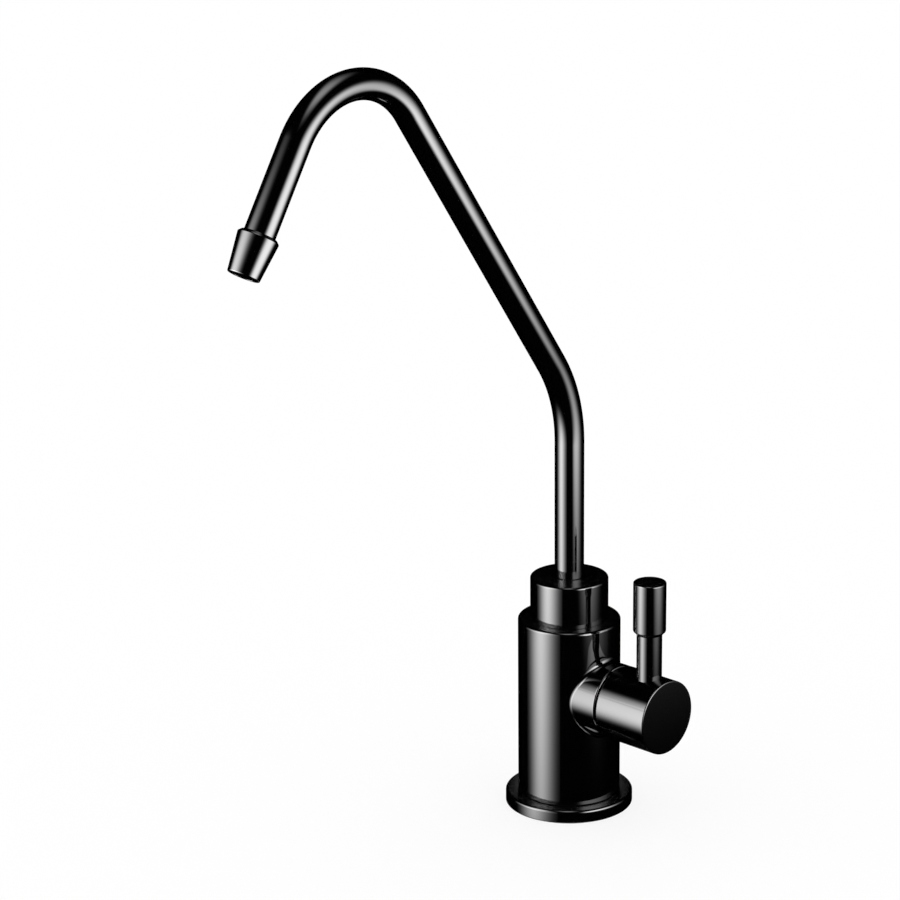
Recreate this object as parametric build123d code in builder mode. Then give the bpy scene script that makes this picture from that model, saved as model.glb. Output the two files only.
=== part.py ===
from build123d import *
import os
from math import cos, radians, sin, sqrt, tan

# Drinking water filter tap: a worktop tap with a bent spout that swivels and a quarter-turn side lever.
# Millimetres and degrees. The origin is the centre of the base on the worktop, Z is up, the spout
# reaches along -Y and the lever's axis points along +X.
os.makedirs("parts", exist_ok=True)

# Clearances that several pieces share
running_gap = 0.05  # radial play of a fit that turns or slides
thread_gap = 0.05  # radial play between an outer and an inner thread
fixed_gap = 0.02  # play of a brazed, pressed or glued fit
film_gap = 0.02  # water film between flat faces that rub
free_gap = 0.3  # space round a moving piece that nothing guides
end_play = 0.5  # space past the end of a piece in a blind hole
cut_overrun = 1.0  # how far a cutting shape runs past the faces that it opens

# Base plate and its gasket
base_diameter = 43.7
base_height = 4.5
base_top_round = 0.9
base_foot_round = 0.4
gasket_outer_diameter = 39.0
gasket_inner_diameter = 20.0
gasket_thickness = 1.5

# Body: a turned brass column with a side boss for the valve cartridge
body_diameter = 35.0
body_edge_round = 0.9
body_foot_round = 0.5
body_spigot_diameter = 16.0
body_spigot_depth = 2.5
lever_axis_height = 42.1
lever_axis_to_body_top = 25.2
boss_diameter = 25.4
boss_reach = 22.7
boss_wall = 3.7
boss_edge_round = 0.7
boss_root_round = 1.6
inlet_channel_diameter = 5.0
seat_port_diameter = 4.2
seat_wall = 1.5
outlet_channel_diameter = 4.0
outlet_channel_offset = 1.5

# Threaded shank that goes down through the worktop
shank_diameter = 11.1
shank_bore_diameter = 6.0
shank_in_body = 14.5
shank_below_worktop = 62.0
shank_end_chamfer = 0.8

# Collar that screws into the body's top and holds the spout down
collar_diameter = 26.6
collar_height = 14.7
collar_edge_round = 0.8
collar_thread_diameter = 19.0
collar_thread_length = 6.0
collar_cavity_diameter = 15.1
collar_roof = 4.0

# Spout tube: a riser, a gentle lower bend, a long slope, the upper bend and a short fall
tube_diameter = 10.0
tube_wall = 1.0
riser_length = 47.6
lower_bend_radius = 51.7
lower_bend_angle = 34.45
slope_length = 114.4
upper_bend_radius = 28.8
upper_bend_angle = 114.4
fall_length = 29.8

# Tail: the brass plug on the tube's foot, with its seals, and the washer and bush that it turns on
tail_diameter = 12.7
tail_bore_diameter = 7.0
tail_socket_depth = 6.3
tail_shoulder_diameter = 14.8
tail_shoulder_height = 2.2
tail_sleeve_diameter = 12.4
tail_sleeve_length = 5.7
spout_ring_section = 1.5
spout_ring_groove_width = 1.9
spout_ring_start = 1.8
spout_ring_spacing = 2.6
spout_ring_count = 2
glide_washer_thickness = 0.8

# Nozzle: a tapered tip on the tube's end
nozzle_top_diameter = 13.2
nozzle_mouth_diameter = 10.3
nozzle_length = 13.6
nozzle_shoulder_chamfer = 1.0
nozzle_mouth_round = 0.4
nozzle_socket_depth = 6.0
nozzle_bore_diameter = 7.6

# Valve cartridge: its parts follow one another outwards from the seat in the body
skirt_standoff = 0.4
skirt_waterway = 0.8
skirt_wall = 1.2
cartridge_seal_thickness = 1.2
cartridge_seal_width = 1.1
fixed_disc_thickness = 2.5
moving_disc_thickness = 2.2
disc_port_radius = 3.9
disc_port_width = 2.2
disc_port_arc = 50.0
disc_slot_width = 2.4
disc_slot_depth = 0.9
driver_width = 4.5
driver_thickness = 2.5
window_width = 5.0
window_length = 4.0
gland_flange_diameter = 20.0
gland_flange_thickness = 1.5
gland_hex_flats = 16.0
gland_hex_length = 2.4
housing_ring_section = 1.3
housing_ring_groove_width = 1.7
housing_ring_setback = 1.0

# Spindle with its seals and its retaining clip
spindle_diameter = 7.0
spindle_flat_depth = 0.9
spindle_drive_length = 10.5
spindle_ring_section = 1.2
spindle_ring_groove_width = 1.6
spindle_ring_start = 2.5
spindle_ring_spacing = 3.0
spindle_ring_count = 2
clip_diameter = 11.0
clip_thickness = 0.8
clip_groove_depth = 0.5
clip_mouth_share = 0.8

# Lever: a round hub with a stem and a grip
seam_gap = 0.9
hub_diameter = 25.5
hub_length = 20.7
hub_wall = 2.1
hub_face_round = 0.4
hub_rear_round = 0.3
hub_cavity_clearance = 0.6
stem_diameter = 8.6
stem_setback = 8.1
stem_seat_depth = 0.1
stem_spigot_diameter = 5.0
stem_spigot_web = 1.4
grip_diameter = 11.1
grip_length = 18.4
grip_height = 46.4
grip_foot_chamfer = 1.2
grip_top_round = 0.5
grip_thread_depth = 9.0
grub_diameter = 4.0
grub_length = 6.0
grub_setback = 11.2
grub_hex_flats = 2.0
grub_hex_depth = 2.5

# Clamp under the worktop: rubber washer, plastic spacer, star washer and nut
worktop_thickness = 30.0
rubber_washer_diameter = 30.0
rubber_washer_thickness = 2.0
spacer_diameter = 27.0
spacer_thickness = 6.0
spacer_edge_chamfer = 0.6
star_washer_diameter = 18.4
star_washer_thickness = 0.8
star_tooth_count = 12
star_tooth_width = 2.0
star_tooth_length = 1.5
nut_flats = 19.0
nut_thickness = 6.0
nut_corner_chamfer_share = 0.12

# Push-in inlet fitting on the shank's lower end, for a quarter-inch supply tube
supply_tube_diameter = 6.35
supply_tube_gap = 0.075
inlet_diameter = 16.0
inlet_hex_flats = 17.0
inlet_hex_length = 9.0
inlet_thread_length = 10.0
inlet_wall_below_seal = 2.5
inlet_passage_diameter = 5.2
inlet_seal_thickness = 1.5
inlet_socket_length = 5.0
inlet_cavity_diameter = 10.6
inlet_ring_section = 1.9
inlet_ring_slack = 0.3
inlet_edge_round = 0.6
collet_wall = 0.9
collet_barb_height = 0.7
collet_barb_length = 1.75
collet_travel = 1.5
collet_flange_diameter = 12.0
collet_flange_thickness = 1.4
collet_slit_width = 0.8
collet_slit_length = 6.0
collet_slit_count = 4
grip_ring_length = 3.5
fitting_barb_clearance = 0.3

# Heights that follow from the sizes above
body_top = lever_axis_height + lever_axis_to_body_top
collar_top = body_top + collar_height
collar_shelf = body_top - collar_thread_length
socket_floor = collar_shelf - tail_socket_depth
spigot_foot = base_height - body_spigot_depth
shank_top = spigot_foot + shank_in_body
shank_foot = -shank_below_worktop

# Radii that follow from the sizes above
shank_hole_radius = shank_diameter / 2 + thread_gap
chamber_radius = boss_diameter / 2 - boss_wall
tail_radius = tail_diameter / 2
socket_radius = tail_radius + running_gap
tube_radius = tube_diameter / 2
hub_radius = hub_diameter / 2
spindle_radius = spindle_diameter / 2

# Places along the lever's axis, counted from the tap's own axis
seat_reach = inlet_channel_diameter / 2 + seat_wall
fixed_disc_start = seat_reach + cartridge_seal_thickness
moving_disc_start = fixed_disc_start + fixed_disc_thickness + film_gap
driver_start = moving_disc_start + moving_disc_thickness
driver_end = driver_start + driver_thickness
housing_wall_start = driver_end + running_gap
gland_front = boss_reach + gland_flange_thickness + gland_hex_length
clip_start = gland_front + free_gap
hub_rear = boss_reach + seam_gap
hub_face = hub_rear + hub_length
hub_cavity_end = clip_start + clip_thickness + hub_cavity_clearance
spindle_end = hub_cavity_end + spindle_drive_length
stem_reach = hub_face - stem_setback
grub_reach = hub_face - grub_setback

# Planes and axes: the turned profiles are drawn as radius against height, or radius against reach
lever_axis = Axis((0, 0, lever_axis_height), (1, 0, 0))
lever_profile = Plane(origin=(0, 0, lever_axis_height), x_dir=(1, 0, 0), z_dir=(0, -1, 0))
lever_section = Plane(origin=(0, 0, lever_axis_height), x_dir=(0, 1, 0), z_dir=(1, 0, 0))


# Valve body
outlet_channel_reach = seat_reach + outlet_channel_offset
outlet_channel_start = lever_axis_height + chamber_radius - outlet_channel_diameter
with BuildPart() as valve_body:
    with BuildSketch(Plane.XY.offset(base_height)):
        Circle(body_diameter / 2)
    extrude(amount=body_top - base_height)
    with BuildSketch(lever_section):
        Circle(boss_diameter / 2)
    extrude(amount=boss_reach)
    fillet(valve_body.edges().filter_by(GeomType.BSPLINE), boss_root_round)
    fillet(valve_body.edges().filter_by(GeomType.CIRCLE).sort_by(Axis.X)[-1], boss_edge_round)
    fillet(valve_body.edges().filter_by(GeomType.CIRCLE).sort_by(Axis.Z)[-1], body_edge_round)
    fillet(valve_body.edges().filter_by(GeomType.CIRCLE).sort_by(Axis.Z)[0], body_foot_round)
    with BuildSketch(Plane.XY.offset(spigot_foot)):
        Circle(body_spigot_diameter / 2)
    extrude(amount=body_spigot_depth)
    with BuildSketch(Plane.XY.offset(spigot_foot - cut_overrun)):
        Circle(shank_hole_radius)
    extrude(amount=shank_in_body + end_play + cut_overrun, mode=Mode.SUBTRACT)
    with BuildSketch(Plane.XY.offset(shank_top)):
        Circle(inlet_channel_diameter / 2)
    extrude(
        amount=lever_axis_height + inlet_channel_diameter / 2 - shank_top, mode=Mode.SUBTRACT
    )
    with BuildSketch(lever_section):
        Circle(seat_port_diameter / 2)
    extrude(amount=seat_reach + cut_overrun, mode=Mode.SUBTRACT)
    with BuildSketch(lever_section.offset(seat_reach)):
        Circle(chamber_radius)
    extrude(amount=boss_reach - seat_reach + cut_overrun, mode=Mode.SUBTRACT)
    with BuildSketch(Plane.XY.offset(outlet_channel_start)):
        with Locations((outlet_channel_reach, 0)):
            Circle(outlet_channel_diameter / 2)
    extrude(amount=socket_floor - outlet_channel_start + cut_overrun, mode=Mode.SUBTRACT)
    with BuildSketch(Plane.XY.offset(socket_floor)):
        Circle(socket_radius)
    extrude(amount=body_top - socket_floor, mode=Mode.SUBTRACT)
    with BuildSketch(Plane.XY.offset(collar_shelf)):
        Circle(collar_thread_diameter / 2 + thread_gap)
    extrude(amount=collar_thread_length + cut_overrun, mode=Mode.SUBTRACT)
valve_body.part.label = "valve_body"
export_step(valve_body.part, "parts/valve_body.step")


# Base plate
with BuildPart() as base_flange:
    with BuildSketch():
        Circle(base_diameter / 2)
        Circle(body_spigot_diameter / 2 + fixed_gap, mode=Mode.SUBTRACT)
    extrude(amount=base_height)
    base_rims = base_flange.edges().filter_by(GeomType.CIRCLE).group_by(SortBy.RADIUS)[-1]
    fillet(base_rims.sort_by(Axis.Z)[-1], base_top_round)
    fillet(base_rims.sort_by(Axis.Z)[0], base_foot_round)
    with BuildSketch():
        Circle(gasket_outer_diameter / 2 + fixed_gap)
        Circle(gasket_inner_diameter / 2 - fixed_gap, mode=Mode.SUBTRACT)
    extrude(amount=gasket_thickness, mode=Mode.SUBTRACT)
base_flange.part.label = "base_flange"
export_step(base_flange.part, "parts/base_flange.step")


# Rubber gasket, flush with the base plate's underside
with BuildPart() as base_gasket:
    with BuildSketch():
        Circle(gasket_outer_diameter / 2)
        Circle(gasket_inner_diameter / 2, mode=Mode.SUBTRACT)
    extrude(amount=gasket_thickness)
base_gasket.part.label = "base_gasket"
export_step(base_gasket.part, "parts/base_gasket.step")


# Threaded shank
with BuildPart() as threaded_shank:
    with BuildSketch(Plane.XY.offset(shank_foot)):
        Circle(shank_diameter / 2)
    extrude(amount=shank_top - shank_foot)
    chamfer(threaded_shank.edges().filter_by(GeomType.CIRCLE), shank_end_chamfer)
    with BuildSketch(Plane.XY.offset(shank_foot)):
        Circle(shank_bore_diameter / 2)
    extrude(amount=shank_top - shank_foot, mode=Mode.SUBTRACT)
threaded_shank.part.label = "threaded_shank"
export_step(threaded_shank.part, "parts/threaded_shank.step")


# Collar, screwed into the body's top over the spout's shoulder
with BuildPart() as spout_collar:
    with BuildSketch(Plane.XY.offset(body_top)):
        Circle(collar_diameter / 2)
    extrude(amount=collar_height)
    fillet(spout_collar.edges().filter_by(GeomType.CIRCLE).sort_by(Axis.Z)[-1], collar_edge_round)
    with BuildSketch(Plane.XY.offset(collar_shelf + free_gap)):
        Circle(collar_thread_diameter / 2)
    extrude(amount=collar_thread_length - free_gap)
    with BuildSketch(Plane.XY.offset(collar_shelf)):
        Circle(collar_cavity_diameter / 2)
    extrude(amount=collar_top - collar_roof - collar_shelf, mode=Mode.SUBTRACT)
    with BuildSketch(Plane.XY.offset(collar_shelf)):
        Circle(tube_radius + free_gap)
    extrude(amount=collar_top - collar_shelf, mode=Mode.SUBTRACT)
spout_collar.part.label = "spout_collar"
export_step(spout_collar.part, "parts/spout_collar.step")


# Tail: plug, shoulder and sleeve on the tube's foot
tail_foot = socket_floor + end_play
shoulder_foot = collar_shelf + glide_washer_thickness + film_gap
shoulder_top = shoulder_foot + tail_shoulder_height
sleeve_top = shoulder_top + tail_sleeve_length
spout_ring_reach = socket_radius - running_gap / 2
spout_ring_radius = spout_ring_reach - spout_ring_section / 2
spout_groove_floor = spout_ring_reach - spout_ring_section - fixed_gap
spout_ring_heights = [
    tail_foot + spout_ring_start + n * spout_ring_spacing for n in range(spout_ring_count)
]
with BuildPart() as spout_tail:
    with BuildSketch(Plane.XY.offset(tail_foot)):
        Circle(tail_radius)
    extrude(amount=shoulder_foot - tail_foot)
    with BuildSketch(Plane.XY.offset(shoulder_foot)):
        Circle(tail_shoulder_diameter / 2)
    extrude(amount=tail_shoulder_height)
    with BuildSketch(Plane.XY.offset(shoulder_top)):
        Circle(tail_sleeve_diameter / 2)
    extrude(amount=tail_sleeve_length)
    for ring_height in spout_ring_heights:
        with BuildSketch(Plane.XY.offset(ring_height - spout_ring_groove_width / 2)):
            Circle(tail_radius + cut_overrun)
            Circle(spout_groove_floor, mode=Mode.SUBTRACT)
        extrude(amount=spout_ring_groove_width, mode=Mode.SUBTRACT)
    with BuildSketch(Plane.XY.offset(tail_foot)):
        Circle(tail_bore_diameter / 2)
    extrude(amount=shoulder_foot - tail_foot, mode=Mode.SUBTRACT)
    with BuildSketch(Plane.XY.offset(shoulder_foot)):
        Circle(tube_radius + fixed_gap)
    extrude(amount=sleeve_top - shoulder_foot, mode=Mode.SUBTRACT)
spout_tail.part.label = "spout_tail"
export_step(spout_tail.part, "parts/spout_tail.step")


# Rubber rings that seal the tail in the body
with BuildPart() as spout_orings:
    with Locations([(0, 0, ring_height) for ring_height in spout_ring_heights]):
        Torus(spout_ring_radius, spout_ring_section / 2)
spout_orings.part.label = "spout_orings"
export_step(spout_orings.part, "parts/spout_orings.step")


# Plastic washer under the shoulder, and the bush that guides the tube in the collar
with BuildPart() as glide_washer:
    with BuildSketch(Plane.XY.offset(collar_shelf)):
        Circle(tail_shoulder_diameter / 2)
        Circle(tail_radius + free_gap, mode=Mode.SUBTRACT)
    extrude(amount=glide_washer_thickness)
glide_washer.part.label = "glide_washer"
export_step(glide_washer.part, "parts/glide_washer.step")

bush_foot = shoulder_top + running_gap
bush_top = collar_top - collar_roof
with BuildPart() as spout_bush:
    with BuildSketch(Plane.XY.offset(bush_foot)):
        Circle(collar_cavity_diameter / 2 - fixed_gap)
    extrude(amount=bush_top - bush_foot)
    with BuildSketch(Plane.XY.offset(bush_foot)):
        Circle(tube_radius + running_gap)
    extrude(amount=bush_top - bush_foot, mode=Mode.SUBTRACT)
    with BuildSketch(Plane.XY.offset(bush_foot)):
        Circle(tail_sleeve_diameter / 2 + running_gap)
    extrude(amount=sleeve_top + free_gap - bush_foot, mode=Mode.SUBTRACT)
spout_bush.part.label = "spout_bush"
export_step(spout_bush.part, "parts/spout_bush.step")


# Spout tube: its centre line lies in the plane that holds the tap's axis and -Y
slope_angle = radians(lower_bend_angle)
fall_angle = radians(lower_bend_angle + upper_bend_angle)
lower_tangent = lower_bend_radius * tan(radians(lower_bend_angle / 2))
upper_tangent = upper_bend_radius * tan(radians(upper_bend_angle / 2))
slope_direction = Vector(0, -sin(slope_angle), cos(slope_angle))
fall_direction = Vector(0, -sin(fall_angle), cos(fall_angle))
lower_corner = Vector(0, 0, collar_top + riser_length + lower_tangent)
upper_corner = lower_corner + slope_direction * (lower_tangent + slope_length + upper_tangent)
nozzle_start = upper_corner + fall_direction * (upper_tangent + fall_length)
tube_end = nozzle_start + fall_direction * nozzle_socket_depth
with BuildPart() as spout_tube:
    with BuildLine():
        FilletPolyline(
            Vector(0, 0, shoulder_foot),
            lower_corner,
            upper_corner,
            tube_end,
            radius=[lower_bend_radius, upper_bend_radius],
        )
    with BuildSketch(Plane.XY.offset(shoulder_foot)):
        Circle(tube_radius)
        Circle(tube_radius - tube_wall, mode=Mode.SUBTRACT)
    sweep()
spout_tube.part.label = "spout_tube"
export_step(spout_tube.part, "parts/spout_tube.step")


# Nozzle: drawn as radius against the distance along the fall
nozzle_axis = Axis(nozzle_start, fall_direction)
nozzle_profile = Plane(
    origin=nozzle_start, x_dir=(1, 0, 0), z_dir=(0, -fall_direction.Z, fall_direction.Y)
)
nozzle_top_radius = nozzle_top_diameter / 2
with BuildPart() as spout_nozzle:
    with BuildSketch(nozzle_profile):
        with BuildLine():
            Polyline(
                (tube_radius + fixed_gap, 0),
                (nozzle_top_radius - nozzle_shoulder_chamfer, 0),
                (nozzle_top_radius, nozzle_shoulder_chamfer),
                (nozzle_mouth_diameter / 2, nozzle_length),
                (nozzle_bore_diameter / 2, nozzle_length),
                (nozzle_bore_diameter / 2, nozzle_socket_depth + fixed_gap),
                (tube_radius + fixed_gap, nozzle_socket_depth + fixed_gap),
                close=True,
            )
        make_face()
    revolve(axis=nozzle_axis)
    mouth_rims = spout_nozzle.edges().filter_by(GeomType.CIRCLE).sort_by(nozzle_axis)
    fillet(mouth_rims[-2:].sort_by(SortBy.RADIUS)[-1], nozzle_mouth_round)
spout_nozzle.part.label = "spout_nozzle"
export_step(spout_nozzle.part, "parts/spout_nozzle.step")


# Cartridge seal on the valve seat
skirt_radius = chamber_radius - skirt_waterway
disc_bore_radius = skirt_radius - skirt_wall
disc_radius = disc_bore_radius - running_gap
with BuildPart() as cartridge_seal:
    with BuildSketch(lever_section.offset(seat_reach)):
        Circle(disc_radius)
        Circle(disc_radius - cartridge_seal_width, mode=Mode.SUBTRACT)
    extrude(amount=cartridge_seal_thickness)
cartridge_seal.part.label = "cartridge_seal"
export_step(cartridge_seal.part, "parts/cartridge_seal.step")


# Fixed ceramic disc: its two ports lie above and below the axis
fixed_ports = [
    CenterArc((0, 0), disc_port_radius, middle - disc_port_arc / 2, disc_port_arc)
    for middle in (90, 270)
]
with BuildPart() as fixed_disc:
    with BuildSketch(lever_section.offset(fixed_disc_start)):
        Circle(disc_radius)
        for port in fixed_ports:
            SlotArc(port, disc_port_width, mode=Mode.SUBTRACT)
    extrude(amount=fixed_disc_thickness)
fixed_disc.part.label = "fixed_disc"
export_step(fixed_disc.part, "parts/fixed_disc.step")


# Moving ceramic disc: shut, its ports lie a quarter turn from the fixed ones
moving_ports = [
    CenterArc((0, 0), disc_port_radius, middle - disc_port_arc / 2, disc_port_arc)
    for middle in (0, 180)
]
with BuildPart() as moving_disc:
    with BuildSketch(lever_section.offset(moving_disc_start)):
        Circle(disc_radius)
        for port in moving_ports:
            SlotArc(port, disc_port_width, mode=Mode.SUBTRACT)
    extrude(amount=moving_disc_thickness)
    with BuildSketch(lever_section.offset(driver_start - disc_slot_depth)):
        Rectangle(disc_slot_width, 2 * disc_bore_radius)
    extrude(amount=disc_slot_depth + cut_overrun, mode=Mode.SUBTRACT)
moving_disc.part.label = "moving_disc"
export_step(moving_disc.part, "parts/moving_disc.step")


# Cartridge housing: a windowed skirt round the discs, a threaded barrel, and a flanged hexagon.
# Two blocks inside the skirt stop the driver a quarter turn apart.
skirt_start = seat_reach + skirt_standoff
stop_side = driver_width / 2 + running_gap
stop_centre = stop_side + disc_bore_radius / 2
housing_ring_reach = chamber_radius - fixed_gap
housing_ring_radius = housing_ring_reach - housing_ring_section / 2
housing_groove_floor = housing_ring_reach - housing_ring_section - fixed_gap
housing_groove_end = boss_reach - housing_ring_setback
with BuildPart() as cartridge_housing:
    with BuildSketch(lever_section.offset(skirt_start)):
        Circle(skirt_radius)
    extrude(amount=housing_wall_start - skirt_start)
    with BuildSketch(lever_section.offset(housing_wall_start)):
        Circle(chamber_radius - thread_gap)
    extrude(amount=boss_reach - housing_wall_start)
    with BuildSketch(lever_section.offset(boss_reach)):
        Circle(gland_flange_diameter / 2)
    extrude(amount=gland_flange_thickness)
    with BuildSketch(lever_section.offset(boss_reach + gland_flange_thickness)):
        RegularPolygon(gland_hex_flats / 2, 6, major_radius=False)
    extrude(amount=gland_hex_length)
    with BuildSketch(lever_section.offset(skirt_start)):
        Circle(disc_bore_radius)
    extrude(amount=driver_start - skirt_start, mode=Mode.SUBTRACT)
    with BuildSketch(lever_section.offset(driver_start)):
        Circle(disc_bore_radius)
        with Locations((stop_centre, stop_centre), (-stop_centre, -stop_centre)):
            Rectangle(disc_bore_radius, disc_bore_radius, mode=Mode.SUBTRACT)
    extrude(amount=housing_wall_start - driver_start, mode=Mode.SUBTRACT)
    with BuildSketch(lever_section.offset(housing_wall_start)):
        Circle(spindle_radius + running_gap)
    extrude(amount=gland_front - housing_wall_start, mode=Mode.SUBTRACT)
    with BuildSketch(lever_section.offset(housing_wall_start - window_length)):
        Rectangle(2 * chamber_radius, window_width, rotation=135)
    extrude(amount=window_length, mode=Mode.SUBTRACT)
    with BuildSketch(lever_section.offset(housing_groove_end - housing_ring_groove_width)):
        Circle(chamber_radius + cut_overrun)
        Circle(housing_groove_floor, mode=Mode.SUBTRACT)
    extrude(amount=housing_ring_groove_width, mode=Mode.SUBTRACT)
cartridge_housing.part.label = "cartridge_housing"
export_step(cartridge_housing.part, "parts/cartridge_housing.step")


# Rubber ring between the housing and the boss
with BuildPart() as housing_oring:
    with BuildSketch(lever_profile):
        with Locations((housing_groove_end - housing_ring_groove_width / 2, housing_ring_radius)):
            Circle(housing_ring_section / 2)
    revolve(axis=lever_axis)
housing_oring.part.label = "housing_oring"
export_step(housing_oring.part, "parts/housing_oring.step")


# Spindle: a tongue in the moving disc's slot, the driver bar, the stem and a flat for the grub screw
spindle_ring_reach = spindle_radius + running_gap / 2
spindle_ring_radius = spindle_ring_reach - spindle_ring_section / 2
spindle_groove_floor = spindle_ring_reach - spindle_ring_section - fixed_gap
spindle_ring_places = [
    housing_wall_start + spindle_ring_start + n * spindle_ring_spacing
    for n in range(spindle_ring_count)
]
driver_radius = disc_bore_radius - free_gap
flat_height = spindle_radius - spindle_flat_depth
clip_groove_floor = spindle_radius - clip_groove_depth
with BuildPart() as spindle:
    with BuildSketch(lever_section.offset(driver_start - disc_slot_depth + fixed_gap)):
        Circle(driver_radius)
        Rectangle(disc_slot_width - 2 * fixed_gap, 2 * disc_bore_radius, mode=Mode.INTERSECT)
    extrude(amount=disc_slot_depth - fixed_gap)
    with BuildSketch(lever_section.offset(driver_start)):
        Circle(driver_radius)
        Rectangle(driver_width, 2 * disc_bore_radius, mode=Mode.INTERSECT)
    extrude(amount=driver_thickness)
    with BuildSketch(lever_section.offset(driver_end)):
        Circle(spindle_radius)
    extrude(amount=spindle_end - driver_end)
    for ring_place in spindle_ring_places:
        with BuildSketch(lever_section.offset(ring_place - spindle_ring_groove_width / 2)):
            Circle(spindle_radius + cut_overrun)
            Circle(spindle_groove_floor, mode=Mode.SUBTRACT)
        extrude(amount=spindle_ring_groove_width, mode=Mode.SUBTRACT)
    with BuildSketch(lever_section.offset(clip_start)):
        Circle(spindle_radius + cut_overrun)
        Circle(clip_groove_floor, mode=Mode.SUBTRACT)
    extrude(amount=clip_thickness, mode=Mode.SUBTRACT)
    with BuildSketch(lever_section.offset(hub_cavity_end)):
        with Locations((0, -flat_height - spindle_radius / 2)):
            Rectangle(spindle_diameter, spindle_radius)
    extrude(amount=spindle_drive_length, mode=Mode.SUBTRACT)
spindle.part.label = "spindle"
export_step(spindle.part, "parts/spindle.step")


# Rubber rings on the spindle, and the clip that keeps it in the housing
with BuildPart() as spindle_orings:
    for ring_place in spindle_ring_places:
        with BuildSketch(lever_profile):
            with Locations((ring_place, spindle_ring_radius)):
                Circle(spindle_ring_section / 2)
        revolve(axis=lever_axis)
spindle_orings.part.label = "spindle_orings"
export_step(spindle_orings.part, "parts/spindle_orings.step")

clip_mouth = 2 * clip_groove_floor * clip_mouth_share
with BuildPart() as spindle_clip:
    with BuildSketch(lever_section.offset(clip_start)):
        Circle(clip_diameter / 2)
        Circle(clip_groove_floor + fixed_gap, mode=Mode.SUBTRACT)
        with Locations((0, -clip_diameter / 2)):
            Rectangle(clip_mouth, clip_diameter, mode=Mode.SUBTRACT)
    extrude(amount=clip_thickness)
spindle_clip.part.label = "spindle_clip"
export_step(spindle_clip.part, "parts/spindle_clip.step")


# Lever hub: a cup over the gland, a flatted socket for the spindle, a seat for the stem
stem_seat_height = sqrt(hub_radius**2 - (stem_diameter / 2) ** 2) - stem_seat_depth
stem_hole_floor = spindle_radius + fixed_gap + stem_spigot_web
with BuildPart() as lever_hub:
    with BuildSketch(lever_section.offset(hub_rear)):
        Circle(hub_radius)
    extrude(amount=hub_length)
    fillet(lever_hub.edges().filter_by(GeomType.CIRCLE).sort_by(Axis.X)[-1], hub_face_round)
    fillet(lever_hub.edges().filter_by(GeomType.CIRCLE).sort_by(Axis.X)[0], hub_rear_round)
    with BuildSketch(lever_section.offset(hub_rear)):
        Circle(hub_radius - hub_wall)
    extrude(amount=hub_cavity_end - hub_rear, mode=Mode.SUBTRACT)
    with BuildSketch(lever_section.offset(hub_cavity_end)):
        Circle(spindle_radius + fixed_gap)
        with Locations((0, -flat_height - fixed_gap - spindle_radius / 2)):
            Rectangle(spindle_diameter, spindle_radius, mode=Mode.SUBTRACT)
    extrude(amount=spindle_drive_length + end_play, mode=Mode.SUBTRACT)
    with BuildSketch(Plane.XY.offset(lever_axis_height + stem_seat_height)):
        with Locations((stem_reach, 0)):
            Circle(stem_diameter / 2 + fixed_gap)
    extrude(amount=hub_radius - stem_seat_height + cut_overrun, mode=Mode.SUBTRACT)
    with BuildSketch(Plane.XY.offset(lever_axis_height + stem_hole_floor)):
        with Locations((stem_reach, 0)):
            Circle(stem_spigot_diameter / 2 + thread_gap)
    extrude(amount=stem_seat_height - stem_hole_floor, mode=Mode.SUBTRACT)
    with BuildSketch(Plane.XY.offset(lever_axis_height - flat_height)):
        with Locations((grub_reach, 0)):
            Circle(grub_diameter / 2 + thread_gap)
    extrude(amount=-(hub_radius - flat_height + cut_overrun), mode=Mode.SUBTRACT)
lever_hub.part.label = "lever_hub"
export_step(lever_hub.part, "parts/lever_hub.step")


# Grub screw, under the hub and tight on the spindle's flat
with BuildPart() as grub_screw:
    with BuildSketch(Plane.XY.offset(lever_axis_height - flat_height - grub_length)):
        with Locations((grub_reach, 0)):
            Circle(grub_diameter / 2)
    extrude(amount=grub_length)
    with BuildSketch(Plane.XY.offset(lever_axis_height - flat_height - grub_length)):
        with Locations((grub_reach, 0)):
            RegularPolygon(grub_hex_flats / 2, 6, major_radius=False)
    extrude(amount=grub_hex_depth, mode=Mode.SUBTRACT)
grub_screw.part.label = "grub_screw"
export_step(grub_screw.part, "parts/grub_screw.step")


# Lever stem, with a threaded spigot at each end
grip_foot = lever_axis_height + grip_height - grip_length
stem_foot = lever_axis_height + stem_seat_height
spigot_low = lever_axis_height + stem_hole_floor + end_play
with BuildPart() as lever_stem:
    with BuildSketch(Plane.XY.offset(stem_foot)):
        with Locations((stem_reach, 0)):
            Circle(stem_diameter / 2)
    extrude(amount=grip_foot - stem_foot)
    with BuildSketch(Plane.XY.offset(spigot_low)):
        with Locations((stem_reach, 0)):
            Circle(stem_spigot_diameter / 2)
    extrude(amount=grip_foot + grip_thread_depth - spigot_low)
lever_stem.part.label = "lever_stem"
export_step(lever_stem.part, "parts/lever_stem.step")


# Lever grip, screwed on the stem
with BuildPart() as lever_grip:
    with BuildSketch(Plane.XY.offset(grip_foot)):
        with Locations((stem_reach, 0)):
            Circle(grip_diameter / 2)
    extrude(amount=grip_length)
    fillet(lever_grip.edges().filter_by(GeomType.CIRCLE).sort_by(Axis.Z)[-1], grip_top_round)
    chamfer(lever_grip.edges().filter_by(GeomType.CIRCLE).sort_by(Axis.Z)[0], grip_foot_chamfer)
    with BuildSketch(Plane.XY.offset(grip_foot)):
        with Locations((stem_reach, 0)):
            Circle(stem_spigot_diameter / 2 + thread_gap)
    extrude(amount=grip_thread_depth + end_play, mode=Mode.SUBTRACT)
lever_grip.part.label = "lever_grip"
export_step(lever_grip.part, "parts/lever_grip.step")


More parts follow.
